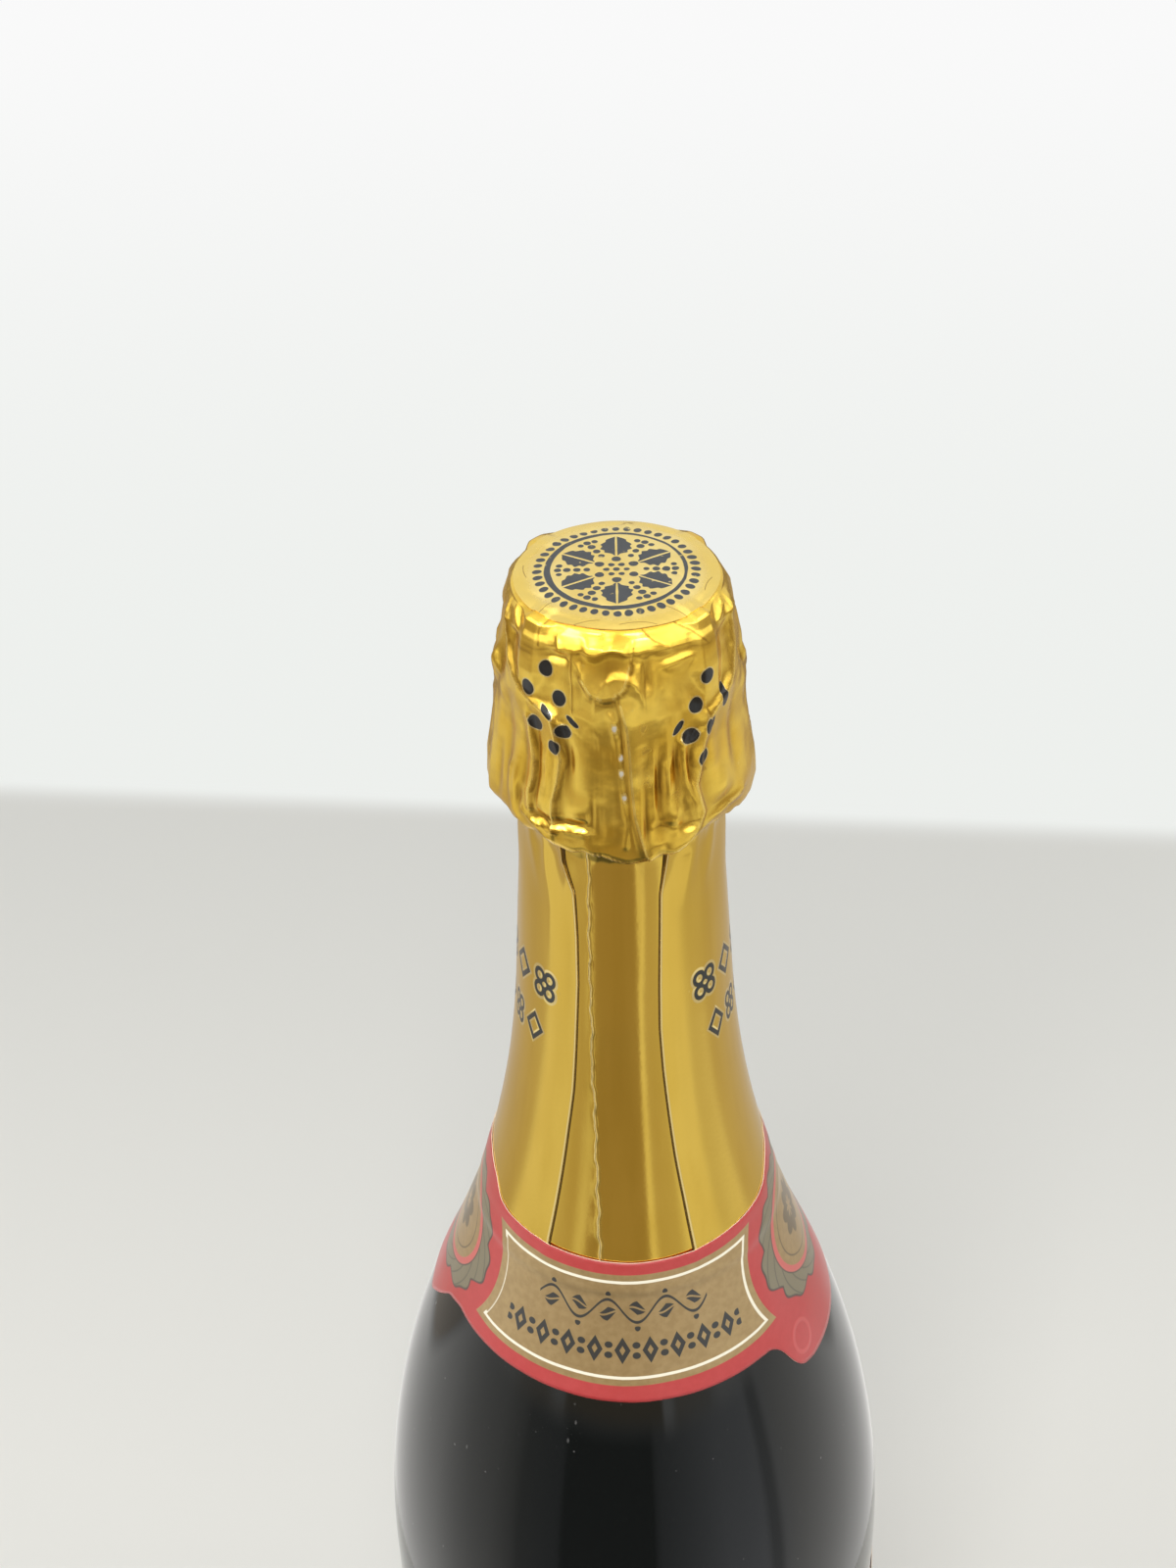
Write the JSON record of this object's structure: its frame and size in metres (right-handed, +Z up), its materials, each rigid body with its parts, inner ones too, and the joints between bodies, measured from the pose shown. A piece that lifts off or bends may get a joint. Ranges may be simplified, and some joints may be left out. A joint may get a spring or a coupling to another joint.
{
  "type": "champagne bottle",
  "caption": "Dressed sparkling-wine bottle: dark punted glass, gold neck foil, shaped collar label, mushroom cork, twisted wire cage and crumpled foil cap that lift off.",
  "frame": {"origin": "centre of the standing ring, on the surface that the bottle stands on", "axes": "+Z up along the bottle, -Y towards the side with the foil's seam (the side that the picture shows), +X towards the front label"},
  "size_m": [0.0884, 0.088, 0.32],
  "materials": {
    "bottle_glass": "near-black green bottle glass, polished, lightly dusty",
    "satin_gold_foil": "satin gold foil with long pleats",
    "collar_paper": "printed label paper, red and dull gold, half gloss",
    "front_paper": "cream label paper with dull gold frame",
    "cork_agglomerate": "pressed cork grain, matte",
    "cork_natural": "natural cork, matte, with lenticels",
    "cage_plate": "gold lacquered tinplate",
    "cage_wire": "galvanised wire, dull",
    "bright_gold_foil": "bright gold foil, crumpled",
    "printed_disc": "pale gold foil with dark slate print"
  },
  "bodies": {
    "bottle": {"glass_bottle": "bottle_glass", "neck_foil": "satin_gold_foil", "collar_label": "collar_paper", "front_label": "front_paper"},
    "cork": {"cork_body": "cork_agglomerate", "cork_disc_upper": "cork_natural", "cork_disc_lower": "cork_natural"},
    "cage": {"cap_plate": "cage_plate", "cage_wire_1": "cage_wire", "cage_wire_2": "cage_wire", "cage_wire_3": "cage_wire", "cage_wire_4": "cage_wire", "belt_wire": "cage_wire"},
    "foil_cap": {"cap_foil": "bright_gold_foil", "cap_foil_disc": "printed_disc"}
  },
  "joints": [
    {"name": "cork_pull", "type": "slide", "parent": "bottle", "child": "cork", "axis": [0, 0, 1], "range_m": [0, 0.06]},
    {"name": "cage_lift", "type": "slide", "parent": "cork", "child": "cage", "axis": [0, 0, 1], "range_m": [0, 0.045]},
    {"name": "foil_lift", "type": "slide", "parent": "cage", "child": "foil_cap", "axis": [0, 0, 1], "range_m": [0, 0.05]}
  ]
}
